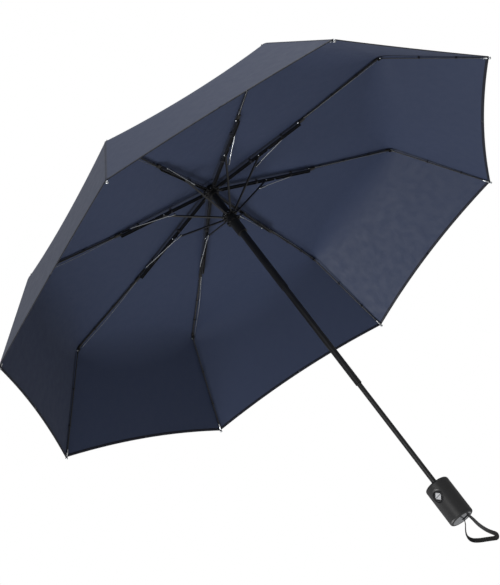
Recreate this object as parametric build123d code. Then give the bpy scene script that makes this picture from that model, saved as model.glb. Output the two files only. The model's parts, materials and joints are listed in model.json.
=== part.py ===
"""Folding umbrella, eight ribs in three sections, automatic open and close.

The origin is the middle of the hand grip on the shaft's axis, and +Z runs up the shaft to the crown.
The umbrella is modelled open. Each rib is drawn in its own plane, with u along the piece, v square to
it on the canopy side and y across, and is then turned to its place round the shaft.
"""

from build123d import *
from math import atan2, cos, degrees, hypot, pi, radians, sin, sqrt, tan
import os

# Driving dimensions, in millimetres and degrees
RIBS = 8
RIB_STEP = 360 / RIBS
CROWN_Z = 669.0            # plane of the main ribs' pivots in the top notch
NOTCH_PIVOT_R = 12.0       # main rib pivots to shaft axis
MAIN_SLOPE = 7.9           # fall of an open main rib
MAIN_LENGTH = 176.3        # notch pivot to middle joint
STRETCHER_PIVOT_U = 91.0   # stretcher rivet on the main rib
STRETCHER_PIVOT_V = -0.5
MIDDLE_JOINT_V = 3.6       # middle joint stands above the main rib
ELBOW_R = 356.0
ELBOW_Z = CROWN_Z - 41.0
ELBOW_DROP = 2.8           # elbow pivot hangs below the middle rib
TIP_R = 480.0
TIP_Z = CROWN_Z - 179.0
RUNNER_OPEN_DROP = 57.0    # runner's rib ring below the crown when open
HEEL = 17.0                # pull rod pivot to middle joint

UPPER_TUBE_R = 6.2
MIDDLE_TUBE_R = 5.2
LOWER_TUBE_R = 3.95
TUBE_WALL = 0.35
TUBE_LENGTH = 232.0
TUBE_OVERLAP = 28.0

GRIP_R = 19.5
GRIP_TOP = 32.4
GRIP_BOTTOM = -32.4
BUTTON_AZIMUTH = -60.0
BUTTON_Z = 11.2
BUTTON_R = 8.4

PIN_R = 0.8
PIN_HOLE_R = 0.86
WIRE_R = 0.7
WIRE_HOLE_R = 0.76
ROD_LAYER = (3.5, 4.9)     # the pull rod runs beside the main rib
HEEL_LAYER = (2.6, 3.3)    # the middle rib's heel plate runs between them

# The wrist strap's route, from one end in the handle round to the other
STRAP_R = 1.6
STRAP_ROUTE = [
    (3, 9, -29.6), (3, 12, -39), (-1, 16, -50), (-4, 22.5, -61), (-5, 30, -69.5), (-4.5, 36.5, -75.5),
    (-8.5, 36, -80.5), (-10, 28, -76.5), (-13, 19, -72), (-16.5, 9, -67), (-18, 0.5, -61),
    (-15.5, -2.5, -52.5), (-10, -0.5, -45), (-4.5, 3, -38.5), (-3, 5, -29.6),
]


def block(u, y, v):
    """A box between two limits on each axis."""
    size = [high - low for low, high in (u, y, v)]
    middle = [(high + low) / 2 for low, high in (u, y, v)]
    return Pos(*middle) * Box(*size)


def cross_pin(u, v, radius, y):
    """A cylinder across the rib, between two limits of y."""
    return Pos(u, (y[0] + y[1]) / 2, v) * Rot(90, 0, 0) * Cylinder(radius, y[1] - y[0])


def long_rod(u, radius, y=0.0, v=0.0):
    """A round rod along the rib, between two limits of u."""
    return Pos((u[0] + u[1]) / 2, y, v) * Rot(0, 90, 0) * Cylinder(radius, u[1] - u[0])


def upright(z, radius, hole=0.0):
    """A cylinder or a ring on the shaft's axis, between two heights."""
    body = Pos(0, 0, (z[0] + z[1]) / 2) * Cylinder(radius, z[1] - z[0])
    if hole:
        body -= Pos(0, 0, (z[0] + z[1]) / 2) * Cylinder(hole, z[1] - z[0] + 1)
    return body


def in_plane(shape, start, slope):
    """Sets a piece drawn along u at a start point (r, z) of the rib plane, rising by slope."""
    return Pos(start[0], 0, start[1]) * Rot(0, -slope, 0) * shape


def point_at(start, slope, u, v):
    """The point (r, z) of the rib plane that lies at u, v in a piece's own axes."""
    rise = radians(slope)
    return (
        start[0] + u * cos(rise) - v * sin(rise),
        start[1] + u * sin(rise) + v * cos(rise),
    )


def slope_of(a, b):
    return degrees(atan2(b[1] - a[1], b[0] - a[0]))


def distance(a, b):
    return hypot(b[0] - a[0], b[1] - a[1])


# Pivots of the open rib, in the rib plane
notch_pivot = (NOTCH_PIVOT_R, CROWN_Z)
stretcher_pivot = point_at(notch_pivot, -MAIN_SLOPE, STRETCHER_PIVOT_U, STRETCHER_PIVOT_V)
middle_joint = point_at(notch_pivot, -MAIN_SLOPE, MAIN_LENGTH, MIDDLE_JOINT_V)
runner_pivot = (NOTCH_PIVOT_R + STRETCHER_PIVOT_V, CROWN_Z - RUNNER_OPEN_DROP)
elbow = (ELBOW_R, ELBOW_Z)
tip = (TIP_R, TIP_Z)

STRETCHER_LENGTH = distance(runner_pivot, stretcher_pivot)
STRETCHER_SLOPE = slope_of(stretcher_pivot, runner_pivot)
MIDDLE_LENGTH = sqrt(distance(middle_joint, elbow) ** 2 - ELBOW_DROP**2)
MIDDLE_SLOPE = slope_of(middle_joint, elbow) + degrees(atan2(ELBOW_DROP, MIDDLE_LENGTH))
OUTER_LENGTH = distance(elbow, tip)
OUTER_SLOPE = slope_of(elbow, tip)
RUNNER_TRAVEL = STRETCHER_PIVOT_U + STRETCHER_LENGTH - RUNNER_OPEN_DROP
heel_end = point_at(middle_joint, MIDDLE_SLOPE, -HEEL, 0)


def rod_end_on_stretcher(reach):
    """The pull rod's length open and folded, with its pivot this far down the stretcher."""
    start = point_at(stretcher_pivot, STRETCHER_SLOPE, reach, 0)
    folded_start = (STRETCHER_PIVOT_U + reach, STRETCHER_PIVOT_V)
    folded_heel = (MAIN_LENGTH + HEEL, MIDDLE_JOINT_V)
    return distance(start, heel_end), distance(folded_start, folded_heel)


def equal_rod_reach():
    """Halves the interval until the rod is as long folded as open."""
    low, high = 10.0, 26.0
    for _ in range(60):
        middle = (low + high) / 2
        open_length, folded_length = rod_end_on_stretcher(middle)
        if open_length < folded_length:
            low = middle
        else:
            high = middle
    return low


ROD_REACH = equal_rod_reach()
rod_pivot = point_at(stretcher_pivot, STRETCHER_SLOPE, ROD_REACH, 0)
ROD_LENGTH = distance(rod_pivot, heel_end)
ROD_SLOPE = slope_of(rod_pivot, heel_end)


def main_rib():
    """A channel open downwards, with an eye in the notch, the stretcher's rivet and the middle joint's lug."""
    wall_y, inner_y, floor_v, web_v, top_v = 2.3, 1.8, -2.2, 1.3, 1.8
    end = MAIN_LENGTH + 1.6
    rib = block((6, end), (-wall_y, wall_y), (floor_v, top_v))
    rib -= block((5, end + 1), (-inner_y, inner_y), (floor_v - 1, web_v))
    rib += block((0, 9), (-1.2, 1.2), (-1.2, 1.5)) + cross_pin(0, 0, 1.9, (-1.2, 1.2))
    rib += block((6, 7.5), (-2.0, 2.0), (-1.2, 1.5))
    rib += block((MAIN_LENGTH - 1.6, end), (-0.9, wall_y), (web_v, MIDDLE_JOINT_V))
    rib += cross_pin(MAIN_LENGTH, MIDDLE_JOINT_V, 1.6, (-0.9, wall_y))
    # The rod's pivot pin swings into this notch as the stretcher nests in the channel
    pin_u = STRETCHER_PIVOT_U + ROD_REACH
    rib -= block((pin_u - 1.4, pin_u + 1.4), (1.6, 3), (floor_v - 1, 0.8))
    rib -= cross_pin(0, 0, WIRE_HOLE_R, (-2, 2))
    rib += cross_pin(MAIN_LENGTH, MIDDLE_JOINT_V, PIN_R, (-2.7, 3.35))
    rib += cross_pin(STRETCHER_PIVOT_U, STRETCHER_PIVOT_V, PIN_R, (-2.9, 2.9))
    for y in ((-2.9, -2.2), (2.2, 2.9)):
        rib += cross_pin(STRETCHER_PIVOT_U, STRETCHER_PIVOT_V, 1.3, y)
    return in_plane(rib, notch_pivot, -MAIN_SLOPE)


def stretcher():
    """A flat bar from its rivet on the main rib down to the runner's wire, with the pull rod's pin."""
    bar = block((0, STRETCHER_LENGTH - 5), (-1.4, 1.4), (-1.2, 1.2))
    bar += cross_pin(0, 0, 1.3, (-1.4, 1.4))
    bar += block((STRETCHER_LENGTH - 6, STRETCHER_LENGTH), (-1.2, 1.2), (-1.2, 1.2))
    bar += cross_pin(STRETCHER_LENGTH, 0, 1.7, (-1.2, 1.2))
    bar -= cross_pin(0, 0, PIN_HOLE_R, (-2, 2))
    bar -= cross_pin(STRETCHER_LENGTH, 0, WIRE_HOLE_R, (-2, 2))
    bar += cross_pin(ROD_REACH, 0, WIRE_R, (1, 5.3)) + cross_pin(ROD_REACH, 0, 1.2, (5.0, 5.4))
    return in_plane(bar, stretcher_pivot, STRETCHER_SLOPE)


def pull_rod():
    """A wire from the stretcher to the middle rib's heel, with a flat bracket at its inner end."""
    low, high = ROD_LAYER
    rod = long_rod((1, ROD_LENGTH), WIRE_R, y=(low + high) / 2)
    rod += block((0, 12), ROD_LAYER, (-1.5, 1.5)) + cross_pin(0, 0, 1.5, ROD_LAYER)
    rod += cross_pin(ROD_LENGTH, 0, 1.6, ROD_LAYER)
    rod -= cross_pin(0, 0, WIRE_HOLE_R, (low - 1, high + 1))
    return in_plane(rod, rod_pivot, ROD_SLOPE)


def middle_rib():
    """A round rod with a heel plate and a forked connector at the middle joint and a fork at the elbow."""
    rib = block((-HEEL, 10), HEEL_LAYER, (-1.4, 1.4)) + cross_pin(-HEEL, 0, 1.7, HEEL_LAYER)
    rib += block((0, 10), (-2.2, -1.2), (-1.4, 1.4)) + cross_pin(0, 0, 1.4, (-2.2, -1.2))
    rib += block((2.4, 12), (-2.2, HEEL_LAYER[1]), (-1.4, 1.4))
    rib -= cross_pin(0, 0, PIN_HOLE_R, (-3, 4))
    rib += long_rod((11, MIDDLE_LENGTH - 5), 1.2)
    rib += block((MIDDLE_LENGTH - 11, MIDDLE_LENGTH - 4), (-2.0, 2.0), (-1.4, 1.4))
    fork_end = MIDDLE_LENGTH + 1.4
    for y in ((-2.0, -1.2), (1.2, 2.0)):
        rib += block((MIDDLE_LENGTH - 5, fork_end), y, (-ELBOW_DROP - 1.4, 1.4))
    rib += cross_pin(MIDDLE_LENGTH, -ELBOW_DROP, WIRE_R, (-2.3, 2.3))
    return in_plane(rib, middle_joint, MIDDLE_SLOPE)


def outer_rib():
    """A thin rod from the elbow to its ball tip."""
    rib = block((0, 6), (-0.9, 0.9), (-0.9, 0.9)) + cross_pin(0, 0, 1.5, (-0.9, 0.9))
    rib -= cross_pin(0, 0, WIRE_HOLE_R, (-2, 2))
    rib += long_rod((5, OUTER_LENGTH), 0.9) + long_rod((OUTER_LENGTH - 9, OUTER_LENGTH), 1.4)
    rib += Pos(OUTER_LENGTH, 0, 0) * Sphere(1.9)
    return in_plane(rib, elbow, OUTER_SLOPE)


def wire_ring(radius, apothem, z):
    """An eight-sided wire, straight where each rib's eye turns on it."""
    half_side = apothem * tan(pi / RIBS)
    corner = apothem / cos(pi / RIBS)
    ring = None
    for k in range(RIBS):
        side = Rot(0, 0, k * RIB_STEP) * Pos(apothem, 0, z) * Rot(90, 0, 0) * Cylinder(radius, 2 * half_side)
        knee = Rot(0, 0, (k + 0.5) * RIB_STEP) * Pos(corner, 0, z) * Sphere(radius)
        ring = side + knee if ring is None else ring + side + knee
    return ring


def rib_slots(inner_r, outer_r, half_width, z):
    """Eight radial slots that the ribs' ends swing in."""
    slots = []
    for k in range(RIBS):
        slots.append(Rot(0, 0, k * RIB_STEP) * block((inner_r, outer_r), (-half_width, half_width), z))
    return slots


def top_notch():
    """The slotted hub that holds the main ribs, fixed on the upper tube."""
    z = CROWN_Z
    hub = upright((z - 3, z + 5), 13.4) + upright((z - 9, z - 2), 9.0) + upright((z + 4, z + 8), 8.0)
    hub -= upright((z - 10, z + 9), UPPER_TUBE_R + 0.02)
    for slot in rib_slots(9.6, 15, 1.5, (z - 4, z + 2.4)):
        hub -= slot
    hub -= wire_ring(WIRE_R + 0.05, NOTCH_PIVOT_R, z)
    return hub


def top_cap():
    """The round ferrule over the canopy's centre, with a plug in the upper tube."""
    z = CROWN_Z
    cap = upright((z + 10.2, z + 13), 12.5) + upright((z + 12.5, z + 19), 6.5)
    cap = fillet(cap.edges().filter_by(GeomType.CIRCLE).group_by(Axis.Z)[-1], 3.0)
    cap += upright((z + 6, z + 10.5), UPPER_TUBE_R - TUBE_WALL - 0.02)
    return cap


def tube(top, radius):
    return upright((top - TUBE_LENGTH, top), radius, hole=radius - TUBE_WALL)


def runner():
    """The sleeve that slides on the upper tube, and that the hand holds to fold the ribs."""
    z = runner_pivot[1]
    return upright((z - 42, z + 7), 8.7, hole=UPPER_TUBE_R + 0.06)


def runner_knuckles():
    """The lugs round the sleeve that hold the stretchers' wire, and the split flange under them."""
    z = runner_pivot[1]
    lugs = upright((z - 3, z + 3), 12.9, hole=8.7) + upright((z - 15, z - 11), 12.2, hole=8.7)
    for slot in rib_slots(8.0, 14, 1.7, (z - 16, z + 4)):
        lugs -= slot
    return lugs - wire_ring(WIRE_R + 0.05, runner_pivot[0], z)


def octagon_section(radius, z):
    return Pos(0, 0, z) * RegularPolygon(radius, RIBS, major_radius=True)


def canopy():
    """The eight-panel cover as one thin shell, with its ridges over the ribs."""
    thickness = 0.6
    levels = [
        (9.0, CROWN_Z + 9.6),
        (middle_joint[0], middle_joint[1] + 3.4),
        (ELBOW_R + 2.5, ELBOW_Z + 5.6),
        (TIP_R + 0.5, TIP_Z + 2.6),
    ]
    outside = loft([octagon_section(r, z) for r, z in levels], ruled=True)
    inside = Pos(0, 0, -thickness) * outside
    return outside - inside - upright((CROWN_Z - 20, CROWN_Z + 20), 6.6)


def handle_shell():
    """The moulded grip, open at the bottom, with the button's hole and its dished rim."""
    shell = upright((GRIP_BOTTOM + 3.4, GRIP_TOP), GRIP_R)
    shell = fillet(shell.edges().filter_by(GeomType.CIRCLE).group_by(Axis.Z)[-1], 3.5)
    shell -= upright((GRIP_BOTTOM, 24), 16.8)
    shell -= upright((20, 40), 7.05)
    facing = Rot(0, 0, BUTTON_AZIMUTH) * Pos(0, 0, BUTTON_Z) * Rot(0, 90, 0)
    shell -= facing * Pos(0, 0, 17) * Cylinder(BUTTON_R + 0.25, 8)
    shell -= facing * Pos(0, 0, GRIP_R - 0.6) * Cone(BUTTON_R + 0.3, BUTTON_R + 3.4, 2.2)
    return shell


def handle_collar():
    """The bush that guides the lower tube into the grip."""
    collar = upright((22, GRIP_TOP + 1.6), 7.0) + upright((GRIP_TOP + 0.02, GRIP_TOP + 1.6), 9.0)
    return collar - upright((21, GRIP_TOP + 3), LOWER_TUBE_R + 0.02)


def lower_tube():
    top = CROWN_Z - TUBE_LENGTH + TUBE_OVERLAP - TUBE_LENGTH + TUBE_OVERLAP
    return upright((-16, top), LOWER_TUBE_R, hole=LOWER_TUBE_R - TUBE_WALL)


def tube_socket():
    """The cup in the grip that the lower tube's end stands in."""
    cup = upright((-18, -8), 7.5) + upright((-18, -15), 16.7)
    return cup - upright((-16, -7), LOWER_TUBE_R + 0.02)


def push_button():
    """The round button, with a collar inside the grip that keeps it in."""
    facing = Rot(0, 0, BUTTON_AZIMUTH) * Pos(0, 0, BUTTON_Z) * Rot(0, 90, 0)
    button = Pos(0, 0, 15.6) * Cylinder(BUTTON_R, 4.0)
    button = fillet(button.edges().group_by(Axis.Z)[-1], 0.8)
    return facing * (button + Pos(0, 0, 13.1) * Cylinder(BUTTON_R + 0.8, 1.4))


def spring(radius, wire, pitch, height):
    """A coil spring that stands on the origin."""
    path = Helix(pitch, height, radius)
    return sweep(Plane(origin=path @ 0, z_dir=path % 0) * Circle(wire), path=path)


def button_spring():
    """The small coil that pushes the button back out."""
    facing = Rot(0, 0, BUTTON_AZIMUTH) * Pos(0, 0, BUTTON_Z) * Rot(0, 90, 0)
    return facing * Pos(0, 0, 5.2) * spring(3.2, 0.35, 1.6, 6.6)


def drive_spring():
    """The compression spring in the lower tube that drives the shaft out."""
    return spring(2.6, 0.5, 6.0, 180)


def end_cap():
    """The moulded plug that closes the grip, with a rounded rim and the strap's slot."""
    cap = upright((GRIP_BOTTOM, GRIP_BOTTOM + 3.35), GRIP_R - 0.05) + upright((GRIP_BOTTOM + 3, -22), 16.7)
    cap = fillet(cap.edges().filter_by(GeomType.CIRCLE).group_by(Axis.Z)[0], 3.0)
    cap -= upright((GRIP_BOTTOM + 5, -21), 14.8)
    cap -= upright((GRIP_BOTTOM - 1, GRIP_BOTTOM + 0.8), 15.6)
    cap -= Pos(0, 7, -30) * Rot(0, 0, 33.7) * Box(14, 6.4, 10)
    return cap


def end_disc():
    """The thin plain disc set in the end insert, cut away round the strap's slot."""
    disc = upright((GRIP_BOTTOM + 0.2, GRIP_BOTTOM + 0.78), 15.4)
    return disc - Pos(0, 7, -30) * Rot(0, 0, 33.7) * Box(15, 7.2, 10)


def strap_anchor_pin():
    """The pin inside the slot that the strap is sewn round."""
    return Pos(0, 7, -29.6) * Rot(0, 0, 33.7) * Rot(0, 90, 0) * Cylinder(1.0, 14)


def wrist_strap():
    """The strap's loop as a plain tube, straight runs joined by arcs as large as they allow."""
    points = [Vector(*p) for p in STRAP_ROUTE]
    radii = []
    for before, here, after in zip(points, points[1:], points[2:]):
        turn = radians((here - before).get_angle(after - here))
        shorter = min((here - before).length, (after - here).length)
        radii.append(0.45 * shorter / tan(turn / 2))
    path = FilletPolyline(*points, radius=radii)
    print("strap radii", [round(r, 1) for r in radii], "length", round(path.length, 1))
    section = Plane(origin=path @ 0, z_dir=path % 0) * Circle(STRAP_R)
    solid = sweep(section, path=path)
    print("strap volume ratio", round(solid.volume / (pi * STRAP_R**2 * path.length), 4))
    return solid


PIECES = {
    "top_notch": top_notch(),
    "notch_wire": wire_ring(WIRE_R, NOTCH_PIVOT_R, CROWN_Z),
    "top_cap": top_cap(),
    "canopy": canopy(),
    "upper_tube": tube(CROWN_Z + 4, UPPER_TUBE_R),
    "middle_tube": tube(CROWN_Z - TUBE_LENGTH + TUBE_OVERLAP, MIDDLE_TUBE_R),
    "lower_tube": lower_tube(),
    "drive_spring": drive_spring(),
    "runner": runner(),
    "runner_knuckles": runner_knuckles(),
    "runner_wire": wire_ring(WIRE_R, runner_pivot[0], runner_pivot[1]),
    "handle_shell": handle_shell(),
    "handle_collar": handle_collar(),
    "tube_socket": tube_socket(),
    "push_button": push_button(),
    "button_spring": button_spring(),
    "end_cap": end_cap(),
    "end_disc": end_disc(),
    "strap_anchor_pin": strap_anchor_pin(),
    "wrist_strap": wrist_strap(),
}
RIB_PIECES = {
    "main_rib": main_rib(),
    "stretcher": stretcher(),
    "pull_rod": pull_rod(),
    "middle_rib": middle_rib(),
    "outer_rib": outer_rib(),
}

os.makedirs("parts", exist_ok=True)
for name, shape in PIECES.items():
    export_step(shape, f"parts/{name}.step")
for name, shape in RIB_PIECES.items():
    for k in range(RIBS):
        export_step(Rot(0, 0, k * RIB_STEP) * shape, f"parts/{name}_{k + 1}.step")

print("stretcher", STRETCHER_LENGTH, STRETCHER_SLOPE, "middle", MIDDLE_LENGTH, MIDDLE_SLOPE)
print("outer", OUTER_LENGTH, OUTER_SLOPE, "rod", ROD_LENGTH, ROD_SLOPE, "reach", ROD_REACH)
print("runner travel", RUNNER_TRAVEL, "pivots", notch_pivot, stretcher_pivot, runner_pivot)
print("joints", middle_joint, elbow, rod_pivot, heel_end)
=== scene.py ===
"""Folding umbrella: cloth, trim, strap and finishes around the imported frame."""

import json
import math

import bmesh
import bpy
from mathutils import Matrix, Vector


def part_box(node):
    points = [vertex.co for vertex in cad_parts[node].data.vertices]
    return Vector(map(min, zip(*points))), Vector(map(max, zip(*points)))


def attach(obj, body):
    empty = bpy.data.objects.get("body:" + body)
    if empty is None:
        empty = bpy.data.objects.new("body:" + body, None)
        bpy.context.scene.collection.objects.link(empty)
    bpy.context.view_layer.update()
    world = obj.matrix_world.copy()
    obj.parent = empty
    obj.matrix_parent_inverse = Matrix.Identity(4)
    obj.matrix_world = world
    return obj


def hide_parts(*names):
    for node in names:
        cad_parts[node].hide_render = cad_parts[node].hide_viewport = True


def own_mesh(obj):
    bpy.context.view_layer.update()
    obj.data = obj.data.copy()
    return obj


bl_info = {
    "name": "Folding umbrella",
    "version": (1, 0, 0),
    "blender": (4, 5, 0),
    "location": "View3D > Sidebar > Umbrella",
    "description": "Builds the canopy, trim, wrist strap and finishes of a folding umbrella around its frame",
    "category": "Object",
}

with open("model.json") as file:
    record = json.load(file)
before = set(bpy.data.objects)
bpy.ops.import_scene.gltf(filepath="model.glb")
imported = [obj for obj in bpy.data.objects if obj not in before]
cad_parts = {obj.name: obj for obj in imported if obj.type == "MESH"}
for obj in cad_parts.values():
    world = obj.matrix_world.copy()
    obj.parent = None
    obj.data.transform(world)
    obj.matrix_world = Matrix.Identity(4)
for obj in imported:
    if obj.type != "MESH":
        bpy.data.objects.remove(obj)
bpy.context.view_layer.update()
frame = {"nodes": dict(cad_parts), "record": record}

RIBS = 8
STEP = 2 * math.pi / RIBS
MM = 0.001

# Points of the cover's line and of the rib's pivots, as (radius, height). The crown and the canopy's limits come from
# the frame, and the rest are set down from the crown.
CROWN_Z = sum(corner.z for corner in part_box("notch_wire")) / 2
COVER_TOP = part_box("canopy")[1].z
COVER_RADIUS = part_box("canopy")[1].x
COVER_HEM_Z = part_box("canopy")[0].z + 0.6 * MM
ELBOW = Vector((0.3585, CROWN_Z - 0.0354))
KNEE = Vector((0.1871, CROWN_Z - 0.0173))
COVER_LINE = [Vector((0.009, COVER_TOP)), KNEE, ELBOW, Vector((COVER_RADIUS, COVER_HEM_Z))]
MAIN_PIVOT = Vector((0.012, CROWN_Z))
MIDDLE_PIVOT = Vector((0.18712, CROWN_Z - 0.02067))
ELBOW_PIVOT = Vector((0.356, CROWN_Z - 0.041))
RIB_TIP = Vector((0.480, CROWN_Z - 0.179))
ZONES = ("crown", "middle", "skirt")
ZONE_BODIES = {"crown": "main_rib", "middle": "middle_rib", "skirt": "outer_rib"}

BUTTON_TURN = math.radians(-60)
BUTTON_Z = 0.0112
BUTTON_FACE = 0.0176
SIDE_LABELS = {-1: "a", 1: "b"}
WELD_GAP = 1e-7

# Trim on the ribs
THREAD_RADIUS = 0.00042
THREAD_PITCH = 0.0006
RIVET_HEIGHT = 0.0004
FLAT_RIVET_HEIGHT = 0.00018
RIVET_SINK = 0.00005
HEM_HALF_DEPTH = 0.0008

# The side that the strap shows its face to, and its turn away from it (share of length, degrees)
STRAP_FRONT = Vector((0.757, -0.460, -0.465))
STRAP_TURNS = ((0.0, 60), (0.22, 30), (0.38, 8), (0.66, 8), (0.80, 70), (1.0, 84))

# The strap's route, from one end in the grip round to the other
STRAP_ROUTE = [
    (0.003, 0.009, -0.0296), (0.003, 0.012, -0.039), (-0.001, 0.016, -0.050), (-0.004, 0.0225, -0.061),
    (-0.005, 0.0285, -0.0685), (-0.0045, 0.0335, -0.0742), (-0.0085, 0.033, -0.0792),
    (-0.010, 0.028, -0.0765), (-0.013, 0.019, -0.072), (-0.0165, 0.009, -0.067), (-0.018, 0.0005, -0.061),
    (-0.0155, -0.0025, -0.0525), (-0.010, -0.0005, -0.045), (-0.0045, 0.003, -0.0385), (-0.003, 0.005, -0.0296),
]


# ---------------------------------------------------------------- settings

class CanopySettings(bpy.types.PropertyGroup):
    """Sizes of the cover."""

    cloth_thickness: bpy.props.FloatProperty(
        name="Cloth thickness", description="Thickness of the woven cover", default=0.0004, unit="LENGTH")
    hem_sag: bpy.props.FloatProperty(
        name="Hem sag", description="How far the hem curves in between two tips", default=0.010, unit="LENGTH")
    fold_at_rib: bpy.props.FloatProperty(
        name="Fold at rib", description="Half length of the elbow's bend beside a rib", default=0.014,
        unit="LENGTH")
    fold_at_middle: bpy.props.FloatProperty(
        name="Fold at middle", description="Half length of the elbow's bend halfway between ribs", default=0.050,
        unit="LENGTH")
    seam_width: bpy.props.FloatProperty(
        name="Seam width", description="Width of the sewn seam over a rib", default=0.0052, unit="LENGTH")
    hem_width: bpy.props.FloatProperty(
        name="Hem width", description="Width of the bound hem", default=0.0052, unit="LENGTH")
    patch_radius: bpy.props.FloatProperty(
        name="Patch radius", description="Radius of the crown's reinforcing patch", default=0.026, unit="LENGTH")
    gather: bpy.props.FloatProperty(
        name="Gather", description="Share of a gore's width left when the ribs are folded", default=0.05,
        min=0.01, max=1.0, subtype="FACTOR")


class StrapSettings(bpy.types.PropertyGroup):
    """Sizes of the wrist strap."""

    width: bpy.props.FloatProperty(
        name="Width", description="Width of the webbing", default=0.0066, unit="LENGTH")
    thickness: bpy.props.FloatProperty(
        name="Thickness", description="Thickness of the webbing", default=0.0013, unit="LENGTH")


class FinishSettings(bpy.types.PropertyGroup):
    """Colours of the umbrella's finishes."""

    cloth: bpy.props.FloatVectorProperty(
        name="Cloth", description="Colour of the cover", subtype="COLOR", size=3, min=0, max=1,
        default=(0.029, 0.043, 0.092))
    binding: bpy.props.FloatVectorProperty(
        name="Binding", description="Colour of the hem's binding", subtype="COLOR", size=3, min=0, max=1,
        default=(0.006, 0.008, 0.018))
    paint: bpy.props.FloatVectorProperty(
        name="Paint", description="Colour of the painted ribs and tubes", subtype="COLOR", size=3, min=0, max=1,
        default=(0.010, 0.010, 0.011))
    bare_metal: bpy.props.FloatVectorProperty(
        name="Bare metal", description="Colour of the pull rods and tips", subtype="COLOR", size=3, min=0, max=1,
        default=(0.62, 0.64, 0.66))
    grip: bpy.props.FloatVectorProperty(
        name="Grip", description="Colour of the grip", subtype="COLOR", size=3, min=0, max=1,
        default=(0.028, 0.028, 0.029))


class StageSettings(bpy.types.PropertyGroup):
    """Camera, floor and lights."""

    camera_place: bpy.props.FloatVectorProperty(
        name="Camera place", description="Where the camera stands", subtype="TRANSLATION", size=3,
        default=(1.7136, -1.0996, -0.5958))
    camera_aim: bpy.props.FloatVectorProperty(
        name="Camera aim", description="The point at the middle of the view", subtype="TRANSLATION", size=3,
        default=(-0.0945, -0.0005, 0.5155))
    camera_roll: bpy.props.FloatProperty(
        name="Camera roll", description="Turn of the camera about its line of sight", subtype="ANGLE",
        default=math.radians(-36.9))
    lens: bpy.props.FloatProperty(
        name="Lens", description="Focal length for a 36 mm long side", default=87.5, unit="CAMERA")
    floor_drop: bpy.props.FloatProperty(
        name="Floor drop", description="Depth of the floor below the grip", default=1.15, unit="LENGTH")


# ---------------------------------------------------------------- meshes

def new_object(name, mesh_maker, materials, smooth=True):
    """A mesh object from a function that fills a bmesh."""
    mesh = bpy.data.meshes.new(name)
    work = bmesh.new()
    mesh_maker(work)
    for face in work.faces:
        face.smooth = smooth
    work.to_mesh(mesh)
    work.free()
    piece = bpy.data.objects.new(name, mesh)
    bpy.context.scene.collection.objects.link(piece)
    for material in materials:
        mesh.materials.append(material)
    return piece


def bent_grid(work, columns, rows, place, cloth_uv=None):
    """A grid whose corners (0..1, 0..1) are moved to where place(u, v) says."""
    made = bmesh.ops.create_grid(work, x_segments=columns, y_segments=rows, size=0.5)["verts"]
    share = {vert: (vert.co.x + 0.5, vert.co.y + 0.5) for vert in made}
    if cloth_uv:
        layer = work.loops.layers.uv.verify()
        for face in {face for vert in made for face in vert.link_faces}:
            for loop in face.loops:
                loop[layer].uv = cloth_uv(*share[loop.vert])
    for vert, (u, v) in share.items():
        vert.co = place(u, v)
    return share


def welded_grid(work, along, around, place):
    """A grid bent round place(u, turn) and joined along its edge."""
    bent_grid(work, along, around, lambda u, v: place(u, v * 2 * math.pi))
    bmesh.ops.remove_doubles(work, verts=work.verts, dist=WELD_GAP)


def ring_tube(work, along, around, place):
    """A closed tube, capped at its ends."""
    welded_grid(work, along, around, place)
    edges = [edge for edge in work.edges if edge.is_boundary]
    bmesh.ops.holes_fill(work, edges=edges, sides=0)
    bmesh.ops.recalc_face_normals(work, faces=work.faces)


def turned(point, k):
    """A point of the first rib's frame turned to rib k, which may be a half."""
    return Matrix.Rotation(k * STEP, 3, "Z") @ Vector(point)


def radial(k):
    return Vector((math.cos(k * STEP), math.sin(k * STEP), 0))


# ---------------------------------------------------------------- the cover's surface

LINE_LENGTHS = [(b - a).length for a, b in zip(COVER_LINE, COVER_LINE[1:])]
KNEE_AT = LINE_LENGTHS[0]
ELBOW_AT = LINE_LENGTHS[0] + LINE_LENGTHS[1]
HEM_AT = sum(LINE_LENGTHS)


def on_line(distance):
    """The point (radius, height) at a distance along the cover's line over a rib."""
    left = distance
    for (a, b), length in zip(zip(COVER_LINE, COVER_LINE[1:]), LINE_LENGTHS):
        if left <= length or b is COVER_LINE[-1]:
            return a + (b - a) * (left / length)
        left -= length


def on_soft_line(distance, fold):
    """The same line with its knee and elbow rounded over a half length."""
    for corner_at, corner, reach in ((KNEE_AT, KNEE, 0.04), (ELBOW_AT, ELBOW, fold)):
        away = distance - corner_at
        if abs(away) < reach:
            t = (away / reach + 1) / 2
            before, after = on_line(corner_at - reach), on_line(corner_at + reach)
            return before * (1 - t) ** 2 + corner * 2 * t * (1 - t) + after * t**2
    return on_line(distance)


def cover_point(rib, side, across, distance):
    """A point of the cover: across runs from 0 on a rib to 1 halfway to the next on that side."""
    settings = bpy.context.scene.umbrella_canopy
    share = across / 2
    slack = 1 - (1 - across) ** 2
    fold = settings.fold_at_rib + (settings.fold_at_middle - settings.fold_at_rib) * slack
    level = on_soft_line(distance, fold)
    direction = radial(rib) * (1 - share) + radial(rib + side) * share
    point = direction * level.x
    point.z = level.y
    return point


def hem_distance(across):
    """Where the hem lies along the line: on the tips at a rib and higher between them."""
    sag = bpy.context.scene.umbrella_canopy.hem_sag
    return HEM_AT - sag * (1 - (1 - across) ** 2)


def cover_normal(rib, side, across, distance):
    """The outward normal of the cover at a point, from its neighbours."""
    step = 0.002
    a = cover_point(rib, side, max(across - 0.02, 0), distance)
    b = cover_point(rib, side, min(across + 0.02, 1), distance)
    c = cover_point(rib, side, across, distance - step)
    d = cover_point(rib, side, across, distance + step)
    normal = (b - a).cross(d - c)
    if normal.z < 0:
        normal.negate()
    return normal.normalized()


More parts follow.
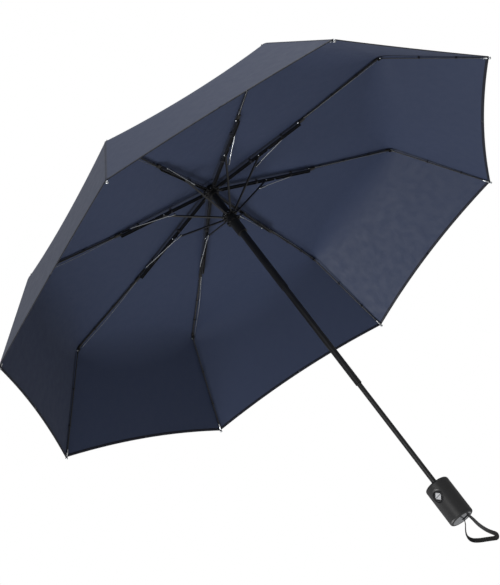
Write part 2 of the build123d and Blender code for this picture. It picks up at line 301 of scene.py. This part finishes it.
def zone_span(zone, across):
    """Start and end distance of a zone of the cover."""
    return {
        "crown": (0.0, KNEE_AT),
        "middle": (KNEE_AT, ELBOW_AT),
        "skirt": (ELBOW_AT, hem_distance(across)),
    }[zone]


def zone_rows(zone, v):
    """Puts a zone's rows closer together beside the elbow."""
    if zone == "middle":
        return 1 - (1 - v) ** 1.6
    if zone == "skirt":
        return v**1.6
    return v


def gather_axis(rib, side, zone):
    """The direction across a half gore, square to its rib and in the cloth's plane, and a point on the rib."""
    start, end = zone_span(zone, 0)
    along = (cover_point(rib, side, 0, end) - cover_point(rib, side, 0, start)).normalized()
    chord = radial(rib + side) - radial(rib)
    across = (chord - along * chord.dot(along)).normalized()
    return across, cover_point(rib, side, 0, (start + end) / 2)


def fold_with_rib(piece, rib, side, zone, keep):
    """Rides a piece of the cover on its rib and hides the frame's own canopy."""
    axis, anchor = gather_axis(rib, side, zone)
    number = rib % RIBS + 1
    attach(piece, f"{ZONE_BODIES[zone]}_{number}")
    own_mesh(piece)
    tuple(axis)
    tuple(anchor)
    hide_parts("canopy")


def cloth_shell(work, columns, rows, spot, thickness):
    """A closed sheet of cloth over spot(u, v), which gives a point, its normal and its flat place.

    Returns each vertex's own normal, so that neighbouring pieces shade as one cloth.
    """
    known = {}

    def found(u, v):
        if (u, v) not in known:
            known[u, v] = spot(u, v)
        return known[u, v]

    def inner(u, v):
        point, normal, _ = found(u, v)
        return point - normal * thickness

    normals = {}
    for place, facing in ((lambda u, v: found(u, v)[0], 1), (inner, -1)):
        share = bent_grid(work, columns, rows, place, lambda u, v: found(u, v)[2])
        normals.update({vert: found(*corner)[1] * facing for vert, corner in share.items()})
        work.normal_update()
        wrong = [face for face in work.faces if face.normal.dot(normals[face.verts[0]]) < 0]
        bmesh.ops.reverse_faces(work, faces=wrong)
    bmesh.ops.bridge_loops(work, edges=[edge for edge in work.edges if edge.is_boundary])
    work.normal_update()
    return normals


def set_cloth_normals(mesh, normals):
    """Shades a cloth shell's two sides with its own normals, and its cut edges flat."""
    split = []
    for polygon in mesh.polygons:
        for index in polygon.vertices:
            normal = normals[index]
            split.append(normal if abs(polygon.normal.dot(normal)) > 0.4 else polygon.normal.copy())
    mesh.normals_split_custom_set(split)


def half_gore(rib, side, zone):
    """One half of a gore between two folds: a fine closed sheet of cloth."""
    settings = bpy.context.scene.umbrella_canopy
    rows = {"crown": 26, "middle": 34, "skirt": 40}[zone]

    def spot(u, v):
        start, end = zone_span(zone, u)
        distance = start + (end - start) * zone_rows(zone, v)
        flat = (side * u * distance * math.tan(STEP / 2), distance)
        return cover_point(rib, side, u, distance), cover_normal(rib, side, u, distance), flat

    mesh = bpy.data.meshes.new(f"cover_{zone}_{rib + 1}{SIDE_LABELS[side]}")
    work = bmesh.new()
    shading = cloth_shell(work, 20, rows, spot, settings.cloth_thickness)
    for face in work.faces:
        face.smooth = True
    work.verts.index_update()
    normals = [shading[vert] for vert in work.verts]
    work.to_mesh(mesh)
    work.free()
    set_cloth_normals(mesh, normals)
    mesh.materials.append(material("cloth"))
    piece = bpy.data.objects.new(mesh.name, mesh)
    bpy.context.scene.collection.objects.link(piece)
    fold_with_rib(piece, rib, side, zone, settings.gather)
    start, end = zone_span(zone, 0)
    flat = (on_line(end).x * math.sin(STEP / 2), end - start)
    return piece


def hem_binding(rib, side):
    """The folded and stitched binding along one half of a gore's edge."""
    settings = bpy.context.scene.umbrella_canopy
    half = settings.hem_width / 2

    def place(u, turn):
        distance = hem_distance(u)
        centre = cover_point(rib, side, u, distance - half * 0.7)
        down = (cover_point(rib, side, u, distance) - cover_point(rib, side, u, distance - 0.004)).normalized()
        outward = cover_normal(rib, side, u, distance)
        return centre + down * (half * math.cos(turn)) + outward * (HEM_HALF_DEPTH * math.sin(turn) - 0.0002)

    piece = new_object(f"hem_{rib + 1}{SIDE_LABELS[side]}", lambda work: ring_tube(work, 26, 10, place),
                       [material("binding")])
    fold_with_rib(piece, rib, side, "skirt", settings.gather)
    return piece


def rib_seam(rib, zone):
    """The sewn seam allowance under one zone of a rib, in a darker cloth that paints the shade beside the rib."""
    settings = bpy.context.scene.umbrella_canopy
    half = settings.seam_width / 2

    def place(u, turn):
        start, end = zone_span(zone, 0)
        distance = start + (end - start) * zone_rows(zone, u)
        centre = cover_point(rib, 1, 0, distance)
        sideways = turned((0, 1, 0), rib)
        normal = cover_normal(rib, 1, 0, distance)
        normal = (normal - sideways * normal.dot(sideways)).normalized()
        rise = 0.00045 * math.sin(turn) - 0.0003
        droop = 0.00025 * abs(math.cos(turn)) + 0.14 * half * math.cos(turn) ** 2
        return centre + sideways * (half * math.cos(turn)) + normal * (rise - droop)

    piece = new_object(f"seam_{zone}_{rib + 1}", lambda work: ring_tube(work, 24, 10, place), [material("seam")])
    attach(piece, f"{ZONE_BODIES[zone]}_{rib + 1}")
    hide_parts("canopy")
    return piece


# ---------------------------------------------------------------- rib trim

def loop_round(work, centre, axis, radius, wire, segments=20, sides=8):
    """A thread or wire ring round an axis."""
    frame_turn = Vector((0, 0, 1)).rotation_difference(axis).to_matrix()

    def place(u, turn):
        angle = u * 2 * math.pi
        out = Vector((math.cos(angle), math.sin(angle), 0))
        local = out * (radius + wire * math.cos(turn)) + Vector((0, 0, wire * math.sin(turn)))
        return centre + frame_turn @ local

    welded_grid(work, segments, sides, place)
    bmesh.ops.recalc_face_normals(work, faces=work.faces)


def plane_point(rib, point, sideways=0.0):
    """A point (radius, height) of a rib's plane, moved sideways."""
    return turned((point.x, sideways, point.y), rib)


def along_rib(rib, start, end, share, drop=0.0):
    """A point on the line between two pivots of a rib, dropped square to it."""
    line = end - start
    square = Vector((line.y, -line.x)).normalized()
    if square.y > 0:
        square.negate()
    return plane_point(rib, start + line * share + square * drop)


def thread_ties(rib):
    """The threads that sew the cover to the ribs, a few turns each."""
    ties = (
        ("main_rib", MAIN_PIVOT, MIDDLE_PIVOT, (0.42, 0.80), 0.0, 0.0036),
        ("middle_rib", MIDDLE_PIVOT, ELBOW_PIVOT, (0.13, 0.42, 0.72), -0.0020, 0.0022),
        ("outer_rib", ELBOW_PIVOT, RIB_TIP, (0.36, 0.70), -0.0006, 0.0018),
    )
    for body, start, end, shares, drop, tall in ties:
        axis = (plane_point(rib, end) - plane_point(rib, start)).normalized()

        def fill(work):
            for share in shares:
                for turn in (-1.5, -0.5, 0.5, 1.5):
                    part = bmesh.new()
                    centre = along_rib(rib, start, end, share, drop) + axis * (turn * THREAD_PITCH)
                    loop_round(part, centre, axis, tall, THREAD_RADIUS)
                    mesh = bpy.data.meshes.new("turn")
                    part.to_mesh(mesh)
                    part.free()
                    work.from_mesh(mesh)
                    bpy.data.meshes.remove(mesh)

        piece = new_object(f"thread_{body}_{rib + 1}", fill, [material("thread")])
        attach(piece, f"{body}_{rib + 1}")


def spring_wire(rib):
    """The thin return wire beside the middle rib, bowed slightly along its length."""
    start = MIDDLE_PIVOT + (ELBOW_PIVOT - MIDDLE_PIVOT) * 0.05
    end = MIDDLE_PIVOT + (ELBOW_PIVOT - MIDDLE_PIVOT) * 0.955
    side = -0.0024

    def place(u, turn):
        centre = start + (end - start) * u
        bow = -0.0012 - 0.0012 * math.sin(math.pi * u)
        centre = centre + Vector((0, bow + 0.0028 * (1 - u) * 0.4))
        spot = plane_point(rib, centre, side + 0.0008 * math.cos(2 * math.pi * u))
        return spot + turned((0, math.cos(turn) * 0.00042, math.sin(turn) * 0.00042), rib)

    piece = new_object(f"return_wire_{rib + 1}", lambda work: ring_tube(work, 24, 8, place), [material("wire")])
    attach(piece, f"middle_rib_{rib + 1}")


def rib_tip(rib):
    """The bright metal tip with its ball, turned about the outer rib's line."""
    line = (plane_point(rib, RIB_TIP) - plane_point(rib, ELBOW_PIVOT)).normalized()
    end = plane_point(rib, RIB_TIP)
    profile = [
        (-0.0150, 0.0), (-0.0150, 0.00125), (-0.0144, 0.00145), (-0.0100, 0.00150), (-0.0096, 0.00178),
        (-0.0086, 0.00178), (-0.0082, 0.00150), (-0.0040, 0.00150), (-0.0030, 0.00120), (-0.0016, 0.00130),
        (-0.0012, 0.0019), (-0.0004, 0.00225), (0.0004, 0.0023), (0.0012, 0.0019), (0.0018, 0.0011), (0.0020, 0.0),
    ]

    def fill(work):
        verts = [work.verts.new((radius, 0, height)) for height, radius in profile]
        edges = [work.edges.new(pair) for pair in zip(verts, verts[1:])]
        bmesh.ops.spin(work, geom=verts + edges, cent=(0, 0, 0), axis=(0, 0, 1), angle=2 * math.pi, steps=20,
                       use_merge=True, use_duplicate=False)
        bmesh.ops.remove_doubles(work, verts=work.verts, dist=WELD_GAP)
        bmesh.ops.recalc_face_normals(work, faces=work.faces)
        place = Matrix.Translation(end) @ Vector((0, 0, 1)).rotation_difference(line).to_matrix().to_4x4()
        bmesh.ops.transform(work, matrix=place, verts=work.verts)

    piece = new_object(f"rib_tip_{rib + 1}", fill, [material("bright")])
    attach(piece, f"outer_rib_{rib + 1}")


def rivet_heads(rib):
    """Bright rivet heads on the stretcher's pivot, the middle joint and the elbow."""
    stretcher_pivot = Vector((0.10207, CROWN_Z - 0.0130))
    rivets = {
        "main_rib": ((stretcher_pivot, 0.0029, 0.0014), (stretcher_pivot, -0.0029, 0.0014),
                     (MIDDLE_PIVOT, -0.0027, 0.0015), (MIDDLE_PIVOT, 0.0033, 0.0012)),
        "middle_rib": ((ELBOW_PIVOT, 0.0023, 0.0015), (ELBOW_PIVOT, -0.0023, 0.0015)),
    }
    for body, places in rivets.items():
        def fill(work):
            for place, side, radius in places:
                height = FLAT_RIVET_HEIGHT if side > 0.003 else RIVET_HEIGHT
                outward = turned((0, math.copysign(1, side), 0), rib)
                stand = Vector((0, 0, 1)).rotation_difference(outward).to_matrix().to_4x4()
                middle = plane_point(rib, place, side) + outward * (height / 2 - RIVET_SINK)
                bmesh.ops.create_cone(work, cap_ends=True, segments=20, radius1=radius, radius2=radius * 0.75,
                                      depth=height, matrix=Matrix.Translation(middle) @ stand)

        piece = new_object(f"rivets_{body}_{rib + 1}", fill, [material("bright")], smooth=False)
        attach(piece, f"{body}_{rib + 1}")


# ---------------------------------------------------------------- node helpers and shared groups

def add_node(tree, kind, **values):
    """A node with its settings, and its inputs by name."""
    node = tree.nodes.new(kind)
    for name, value in values.items():
        if name in node.inputs.keys():
            node.inputs[name].default_value = value
        else:
            setattr(node, name, value)
    return node


def group_tree(name, inputs, outputs):
    """An empty node group with named sockets, and its input and output nodes."""
    tree = bpy.data.node_groups.new(name, "ShaderNodeTree")
    for label, kind, default in inputs:
        socket = tree.interface.new_socket(name=label, in_out="INPUT", socket_type=kind)
        if default is not None:
            socket.default_value = default
    for label, kind in outputs:
        tree.interface.new_socket(name=label, in_out="OUTPUT", socket_type=kind)
    return tree, tree.nodes.new("NodeGroupInput"), tree.nodes.new("NodeGroupOutput")


def weave_group():
    """A plain weave: two sets of threads over and under, with uneven yarns."""
    found = bpy.data.node_groups.get("plain_weave")
    if found:
        return found
    tree, source, result = group_tree(
        "plain_weave",
        [("Vector", "NodeSocketVector", None), ("Threads", "NodeSocketFloat", 2500.0),
         ("Unevenness", "NodeSocketFloat", 0.3)],
        [("Height", "NodeSocketFloat"), ("Shade", "NodeSocketFloat")])
    link = tree.links.new
    scale = add_node(tree, "ShaderNodeVectorMath", operation="SCALE")
    link(source.outputs["Vector"], scale.inputs[0])
    link(source.outputs["Threads"], scale.inputs["Scale"])
    split = add_node(tree, "ShaderNodeSeparateXYZ")
    link(scale.outputs[0], split.inputs[0])
    waves = []
    for axis in ("X", "Y"):
        wave = add_node(tree, "ShaderNodeMath", operation="SINE")
        link(split.outputs[axis], wave.inputs[0])
        waves.append(wave)
    over = add_node(tree, "ShaderNodeMath", operation="MULTIPLY")
    link(waves[0].outputs[0], over.inputs[0])
    link(waves[1].outputs[0], over.inputs[1])
    yarn = add_node(tree, "ShaderNodeTexNoise", Scale=60.0, Detail=3.0, Roughness=0.6)
    link(source.outputs["Vector"], yarn.inputs["Vector"])
    uneven = add_node(tree, "ShaderNodeMath", operation="MULTIPLY")
    link(yarn.outputs["Fac"], uneven.inputs[0])
    link(source.outputs["Unevenness"], uneven.inputs[1])
    height = add_node(tree, "ShaderNodeMath", operation="MULTIPLY_ADD")
    link(over.outputs[0], height.inputs[0])
    height.inputs[1].default_value = 0.5
    link(uneven.outputs[0], height.inputs[2])
    link(height.outputs[0], result.inputs["Height"])
    link(yarn.outputs["Fac"], result.inputs["Shade"])
    return tree


def grain_group():
    """Fine moulded or sprayed grain with broad patches of handling."""
    found = bpy.data.node_groups.get("surface_grain")
    if found:
        return found
    tree, source, result = group_tree(
        "surface_grain",
        [("Vector", "NodeSocketVector", None), ("Grain", "NodeSocketFloat", 900.0),
         ("Patches", "NodeSocketFloat", 30.0)],
        [("Height", "NodeSocketFloat"), ("Wear", "NodeSocketFloat")])
    link = tree.links.new
    grain = add_node(tree, "ShaderNodeTexNoise", Detail=2.0)
    patches = add_node(tree, "ShaderNodeTexNoise", Detail=4.0, Roughness=0.6)
    for noise, name in ((grain, "Grain"), (patches, "Patches")):
        link(source.outputs["Vector"], noise.inputs["Vector"])
        link(source.outputs[name], noise.inputs["Scale"])
    link(grain.outputs["Fac"], result.inputs["Height"])
    link(patches.outputs["Fac"], result.inputs["Wear"])
    return tree


def place_group(tree, group, **values):
    node = tree.nodes.new("ShaderNodeGroup")
    node.node_tree = group
    for name, value in values.items():
        node.inputs[name].default_value = value
    return node


def ramp(tree, source, low, high):
    """Spreads a value between two others."""
    node = add_node(tree, "ShaderNodeMapRange")
    node.inputs["From Min"].default_value = 0.35
    node.inputs["From Max"].default_value = 0.65
    node.inputs["To Min"].default_value = low
    node.inputs["To Max"].default_value = high
    tree.links.new(source, node.inputs["Value"])
    return node.outputs["Result"]


def mixed(tree, share, first, second):
    """A colour between two, by a share."""
    node = add_node(tree, "ShaderNodeMix", data_type="RGBA")
    node.inputs["A"].default_value = (*first, 1)
    node.inputs["B"].default_value = (*second, 1)
    tree.links.new(share, node.inputs["Factor"])
    return node.outputs["Result"]


def bumped(tree, height, strength, distance, shader):
    node = add_node(tree, "ShaderNodeBump", Strength=strength, Distance=distance)
    tree.links.new(height, node.inputs["Height"])
    tree.links.new(node.outputs["Normal"], shader.inputs["Normal"])


def shaded(colour, factor):
    return tuple(min(1.0, channel * factor) for channel in colour)


def start_material(name):
    made = bpy.data.materials.new(name)
    made.use_nodes = True
    tree = made.node_tree
    return made, tree, tree.nodes["Principled BSDF"], add_node(tree, "ShaderNodeTexCoord")


def cloth_material(name, colour, threads=2500.0, roughness=0.6, sheen=0.12, use_uv=True):
    """Woven polyester: weave, uneven dye and a slight sheen."""
    made, tree, shader, where = start_material(name)
    vector = where.outputs["UV"] if use_uv else where.outputs["Object"]
    weave = place_group(tree, weave_group(), Threads=threads, Unevenness=0.3)
    tree.links.new(vector, weave.inputs["Vector"])
    broad = add_node(tree, "ShaderNodeTexNoise", Scale=9.0, Detail=2.0)
    tree.links.new(where.outputs["Object"], broad.inputs["Vector"])
    tree.links.new(mixed(tree, broad.outputs["Fac"], shaded(colour, 0.97), shaded(colour, 1.03)),
                   shader.inputs["Base Color"])
    tree.links.new(ramp(tree, weave.outputs["Shade"], roughness - 0.05, roughness + 0.05),
                   shader.inputs["Roughness"])
    bumped(tree, weave.outputs["Height"], 0.25, 0.00012, shader)
    shader.inputs["Sheen Weight"].default_value = sheen
    shader.inputs["Sheen Roughness"].default_value = 0.4
    shader.inputs["Specular IOR Level"].default_value = 0.35
    return made


def hard_material(name, colour, roughness, metallic=0.0, grain=900.0, strength=0.12, coat=0.0, spread=0.06):
    """Paint, plastic or bare metal with its grain and handling marks."""
    made, tree, shader, where = start_material(name)
    effect = place_group(tree, grain_group(), Grain=grain, Patches=28.0)
    tree.links.new(where.outputs["Object"], effect.inputs["Vector"])
    tree.links.new(mixed(tree, effect.outputs["Wear"], shaded(colour, 0.92), shaded(colour, 1.08)),
                   shader.inputs["Base Color"])
    tree.links.new(ramp(tree, effect.outputs["Wear"], roughness - spread, roughness + spread),
                   shader.inputs["Roughness"])
    bumped(tree, effect.outputs["Height"], strength, 0.0001, shader)
    shader.inputs["Metallic"].default_value = metallic
    shader.inputs["Coat Weight"].default_value = coat
    shader.inputs["Coat Roughness"].default_value = 0.15
    return made


def finishes():
    """Each finish's maker, by the name that pieces ask for."""
    colours = bpy.context.scene.umbrella_finish
    cloth, binding, paint = tuple(colours.cloth), tuple(colours.binding), tuple(colours.paint)
    metal, grip = tuple(colours.bare_metal), tuple(colours.grip)
    return {
        "cloth": lambda: cloth_material("navy_cloth", cloth),
        # The seam strips use 0.55 of the cover's colour: a real seam allowance, darkened as painted shade along the
        # ribs.
        "seam": lambda: cloth_material("seam_cloth_painted_shade", shaded(cloth, 0.55), use_uv=False),
        "binding": lambda: cloth_material("hem_binding", binding, use_uv=False),
        "patch": lambda: cloth_material("patch_cloth", shaded(cloth, 0.8), use_uv=False),
        "webbing": lambda: cloth_material("strap_webbing", (0.010, 0.010, 0.011), threads=1800.0, sheen=0.15),
        "thread": lambda: cloth_material("sewing_thread", (0.015, 0.016, 0.022), threads=9000.0, use_uv=False),
        "paint": lambda: hard_material("black_paint", paint, 0.36, coat=0.1, strength=0.03),
        "tube_paint": lambda: hard_material("tube_paint", paint, 0.34, coat=0.1, strength=0.02),
        "lower_tube": lambda: hard_material("grey_tube", (0.045, 0.045, 0.046), 0.34, metallic=0.6, strength=0.02),
        "middle_rib": lambda: hard_material("bronzed_rib", (0.035, 0.034, 0.031), 0.42, metallic=0.5),
        "bright": lambda: hard_material("bright_metal", metal, 0.24, metallic=1.0, grain=2200.0, strength=0.05),
        "wire": lambda: hard_material("drawn_wire", shaded(metal, 0.55), 0.3, metallic=1.0, grain=2200.0),
        "chrome": lambda: hard_material("plated_insert", (0.72, 0.74, 0.78), 0.14, metallic=1.0, grain=1500.0,
                                        strength=0.03, spread=0.03),
        "grip": lambda: hard_material("grip_plastic", grip, 0.42, grain=1600.0, strength=0.04, spread=0.03),
        "trim": lambda: hard_material("trim_plastic", (0.009, 0.009, 0.009), 0.42, grain=1300.0, strength=0.04),
        "button": lambda: hard_material("button_plastic", (0.014, 0.014, 0.016), 0.22, coat=0.4),
        "mark": lambda: hard_material("printed_mark", (0.72, 0.73, 0.75), 0.38, metallic=0.2),
    }


def material(name):
    """A finish by name, made once."""
    made = bpy.data.materials.get(f"finish_{name}")
    if made is None:
        made = finishes()[name]()
        made.name = f"finish_{name}"
    return made


SLOT_FINISHES = {
    "handle_plastic": "grip", "trim_plastic": "trim", "runner_plastic": "trim", "button_plastic": "button",
    "insert_metal": "chrome", "rivet_metal": "bright", "spring_steel": "wire", "strap_webbing": "webbing",
    "tube_paint": "tube_paint", "lower_tube_paint": "lower_tube", "canopy_fabric": "patch",
    "rib_black": "paint", "rod_silver": "bright", "middle_rib_dark": "middle_rib", "outer_rib_black": "paint",
}


# ---------------------------------------------------------------- handle and strap

def strap_line():
    """The strap's route as one smooth spline, read back as points."""
    curve = bpy.data.curves.new("strap_route", "CURVE")
    curve.dimensions = "3D"
    curve.resolution_u = 10
    spline = curve.splines.new("NURBS")
    spline.points.add(len(STRAP_ROUTE) - 1)
    for point, place in zip(spline.points, STRAP_ROUTE):
        point.co = (*place, 1)
    spline.order_u = 3
    spline.use_endpoint_u = True
    bare = bpy.data.objects.new("strap_route", curve)
    mesh = bpy.data.meshes.new_from_object(bare)
    points = [vert.co.copy() for vert in mesh.vertices]
    bpy.data.meshes.remove(mesh)
    bpy.data.objects.remove(bare)
    bpy.data.curves.remove(curve)
    return points


def strap_frames(points):
    """For each point, the webbing's width direction and its face's normal.

    The webbing shows its face to the front along the outer turn, and its edge where it enters the grip.
    """
    frames = []
    for i in range(len(points)):
        ahead = (points[min(i + 1, len(points) - 1)] - points[max(i - 1, 0)]).normalized()
        flat = ahead.cross(STRAP_FRONT).normalized()
        share = i / (len(points) - 1)
        turn = next(start + (end - start) * (share - at) / (until - at)
                    for (at, start), (until, end) in zip(STRAP_TURNS, STRAP_TURNS[1:]) if share <= until)
        wide = Matrix.Rotation(math.radians(turn), 3, ahead) @ flat
        frames.append((wide, ahead.cross(wide)))
    return frames


def make_strap():
    """The flat webbing loop, in the woven webbing finish."""
    settings = bpy.context.scene.umbrella_strap
    points = strap_line()
    frames = strap_frames(points)
    total = sum((b - a).length for a, b in zip(points, points[1:]))
    rows = len(points) - 1
    half, thick = settings.width / 2, settings.thickness / 2

    def place(u, turn):
        i = min(int(round(u * rows)), rows)
        wide, normal = frames[i]
        across, rise = math.cos(turn), math.sin(turn)
        across = math.copysign(abs(across) ** 0.45, across)
        rise = math.copysign(abs(rise) ** 0.6, rise)
        return points[i] + wide * (half * across) + normal * (thick * rise)

    def fill(work):
        ring_tube(work, rows, 16, place)

    piece = new_object("wrist_strap_webbing", fill, [material("webbing")])
    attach(piece, "handle")
    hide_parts("wrist_strap")
    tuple(STRAP_ROUTE[0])
    return piece


def button_matrix(out):
    """Stands a flat drawing on the button's face."""
    return (Matrix.Rotation(BUTTON_TURN, 4, "Z") @ Matrix.Translation((out, 0, BUTTON_Z))
            @ Matrix.Rotation(math.radians(90), 4, "Y") @ Matrix.Rotation(math.radians(90), 4, "Z"))


def button_mark():
    """Two plain triangles on the button, one for open and one for close."""
    def fill(work):
        for direction in (1, -1):
            corners = [(-0.0056, 0.0005 * direction), (0.0056, 0.0005 * direction), (0, 0.0066 * direction)]
            verts = [work.verts.new((x, y, 0)) for x, y in corners]
            base = work.faces.new(verts if direction > 0 else verts[::-1])
            made = bmesh.ops.extrude_face_region(work, geom=[base])
            top = [item for item in made["geom"] if isinstance(item, bmesh.types.BMVert)]
            bmesh.ops.translate(work, vec=(0, 0, 0.00022), verts=top)
        bmesh.ops.recalc_face_normals(work, faces=work.faces)
        bmesh.ops.transform(work, matrix=button_matrix(BUTTON_FACE - 0.00006), verts=work.verts)

    piece = new_object("button_arrows", fill, [material("mark")], smooth=False)
    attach(piece, "button")


# ---------------------------------------------------------------- operators

class UMBRELLA_OT_stage(bpy.types.Operator):
    """Make the camera, the floor and the soft studio lights"""

    bl_idname = "umbrella.stage"
    bl_label = "Stage"

    def execute(self, context):
        scene = context.scene
        settings = scene.umbrella_stage
        camera_data = bpy.data.cameras.new("camera")
        camera_data.lens = settings.lens
        camera_data.sensor_width = 36.0
        camera_data.clip_end = 50.0
        camera = bpy.data.objects.new("camera", camera_data)
        scene.collection.objects.link(camera)
        place = Vector(settings.camera_place)
        sight = Vector(settings.camera_aim) - place
        turn = sight.to_track_quat("-Z", "Y").to_matrix() @ Matrix.Rotation(settings.camera_roll, 3, "Z")
        camera.matrix_world = Matrix.Translation(place) @ turn.to_4x4()
        scene.camera = camera

        def fill(work):
            bmesh.ops.create_grid(work, x_segments=1, y_segments=1, size=6.0)
            bmesh.ops.translate(work, vec=(0, 0, -settings.floor_drop), verts=work.verts)

        floor_finish = bpy.data.materials.new("pale_floor")
        floor_finish.use_nodes = True
        floor_finish.node_tree.nodes["Principled BSDF"].inputs["Base Color"].default_value = (0.82, 0.82, 0.82, 1)
        floor_finish.node_tree.nodes["Principled BSDF"].inputs["Roughness"].default_value = 0.8
        new_object("floor", fill, [floor_finish])

        world = bpy.data.worlds.new("studio")
        scene.world = world
        world.use_nodes = True
        tree = world.node_tree
        background = tree.nodes["Background"]
        path = tree.nodes.new("ShaderNodeLightPath")
        strength = tree.nodes.new("ShaderNodeMapRange")
        strength.inputs["To Min"].default_value = 0.27
        strength.inputs["To Max"].default_value = 1.0
        tree.links.new(path.outputs["Is Camera Ray"], strength.inputs["Value"])
        tree.links.new(strength.outputs["Result"], background.inputs["Strength"])
        background.inputs["Color"].default_value = (1, 1, 1, 1)

        middle = Vector((0, 0, 0.5))
        for name, place, size, power in (
            ("key", (-1.05, -1.5, -0.85), 1.3, 42.0),
            ("side", (1.6, -1.9, 0.3), 1.4, 13.0),
            ("top", (1.1, 0.3, 1.9), 1.2, 17.0),
        ):
            lamp_data = bpy.data.lights.new(name, "AREA")
            lamp_data.energy = power
            lamp_data.size = size
            lamp = bpy.data.objects.new(name, lamp_data)
            scene.collection.objects.link(lamp)
            lamp.matrix_world = (Matrix.Translation(place)
                                 @ (middle - Vector(place)).to_track_quat("-Z", "Y").to_matrix().to_4x4())
        scene.view_settings.view_transform = "Standard"
        return {"FINISHED"}


class UMBRELLA_OT_strap(bpy.types.Operator):
    """Make the wrist strap"""

    bl_idname = "umbrella.strap"
    bl_label = "Wrist strap"

    def execute(self, context):
        make_strap()
        return {"FINISHED"}


class UMBRELLA_OT_cover(bpy.types.Operator):
    """Make the cover's half gores, from the crown to the hem"""

    bl_idname = "umbrella.cover"
    bl_label = "Cover"

    def execute(self, context):
        for rib in range(RIBS):
            for side in (-1, 1):
                for zone in ZONES:
                    half_gore(rib, side, zone)
        return {"FINISHED"}


class UMBRELLA_OT_hem(bpy.types.Operator):
    """Make the hem's binding and the seams over the ribs"""

    bl_idname = "umbrella.hem"
    bl_label = "Hem and seams"

    def execute(self, context):
        for rib in range(RIBS):
            for side in (-1, 1):
                hem_binding(rib, side)
            for zone in ZONES:
                rib_seam(rib, zone)
        return {"FINISHED"}


class UMBRELLA_OT_crown_patch(bpy.types.Operator):
    """Make the round patch that backs the cover at the crown"""

    bl_idname = "umbrella.crown_patch"
    bl_label = "Crown patch"

    def execute(self, context):
        outer = context.scene.umbrella_canopy.patch_radius
        inner = 0.0085

        def place(u, turn):
            angle = u * 2 * math.pi
            middle, half = (outer + inner) / 2, (outer - inner) / 2
            radius = middle + half * math.copysign(abs(math.cos(turn)) ** 0.5, math.cos(turn))
            slope = -0.151 * radius - 0.0005 * math.cos(RIBS * angle)
            height = CROWN_Z + 0.0096 + 0.00136 + slope - 0.0014 + 0.00035 * math.sin(turn)
            return Vector((radius * math.cos(angle), radius * math.sin(angle), height))

        def fill(work):
            welded_grid(work, 64, 20, place)
            bmesh.ops.recalc_face_normals(work, faces=work.faces)

        piece = new_object("crown_patch_cloth", fill, [material("patch")])
        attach(piece, "upper_shaft")
        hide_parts("canopy")
        return {"FINISHED"}


class UMBRELLA_OT_rib_trim(bpy.types.Operator):
    """Make the rib tips, return wires and sewing threads"""

    bl_idname = "umbrella.rib_trim"
    bl_label = "Rib trim"

    def execute(self, context):
        for rib in range(RIBS):
            thread_ties(rib)
            spring_wire(rib)
            rib_tip(rib)
            rivet_heads(rib)
        return {"FINISHED"}


class UMBRELLA_OT_button_mark(bpy.types.Operator):
    """Make the arrows on the push button"""

    bl_idname = "umbrella.button_mark"
    bl_label = "Button arrows"

    def execute(self, context):
        button_mark()
        return {"FINISHED"}


class UMBRELLA_OT_frame_finish(bpy.types.Operator):
    """Give each part of the frame its finish"""

    bl_idname = "umbrella.frame_finish"
    bl_label = "Frame finishes"

    def execute(self, context):
        for row in frame["record"]["subparts"]:
            node = frame["nodes"][row["node"]]
            finish = material(SLOT_FINISHES[row["material_slot"]])
            if not node.material_slots:
                node.data.materials.append(finish)
            for slot in node.material_slots:
                slot.material = finish
        return {"FINISHED"}


class UMBRELLA_PT_panel(bpy.types.Panel):
    """Lists the umbrella's operators"""

    bl_idname = "UMBRELLA_PT_panel"
    bl_label = "Folding umbrella"
    bl_space_type = "VIEW_3D"
    bl_region_type = "UI"
    bl_category = "Umbrella"

    def draw(self, context):
        column = self.layout.column(align=True)
        for operator in OPERATORS:
            column.operator(operator.bl_idname)
        for name, group in SETTINGS.items():
            settings = getattr(context.scene, name)
            for prop in group.__annotations__:
                column.prop(settings, prop)


SETTINGS = {
    "umbrella_canopy": CanopySettings,
    "umbrella_strap": StrapSettings,
    "umbrella_finish": FinishSettings,
    "umbrella_stage": StageSettings,
}
OPERATORS = (
    UMBRELLA_OT_stage, UMBRELLA_OT_strap, UMBRELLA_OT_cover, UMBRELLA_OT_hem, UMBRELLA_OT_crown_patch,
    UMBRELLA_OT_rib_trim, UMBRELLA_OT_button_mark, UMBRELLA_OT_frame_finish,
)


def register():
    for group in SETTINGS.values():
        bpy.utils.register_class(group)
    for name, group in SETTINGS.items():
        setattr(bpy.types.Scene, name, bpy.props.PointerProperty(type=group))
    for operator in OPERATORS:
        bpy.utils.register_class(operator)
    bpy.utils.register_class(UMBRELLA_PT_panel)


def unregister():
    bpy.utils.unregister_class(UMBRELLA_PT_panel)
    for operator in reversed(OPERATORS):
        bpy.utils.unregister_class(operator)
    for name in SETTINGS:
        delattr(bpy.types.Scene, name)
    for group in reversed(SETTINGS.values()):
        bpy.utils.unregister_class(group)


def main():
    register()
    bpy.ops.umbrella.stage()
    bpy.ops.umbrella.strap()
    bpy.ops.umbrella.cover()
    bpy.ops.umbrella.hem()
    bpy.ops.umbrella.crown_patch()
    bpy.ops.umbrella.rib_trim()
    bpy.ops.umbrella.button_mark()
    bpy.ops.umbrella.frame_finish()


if __name__ == "__main__":
    main()
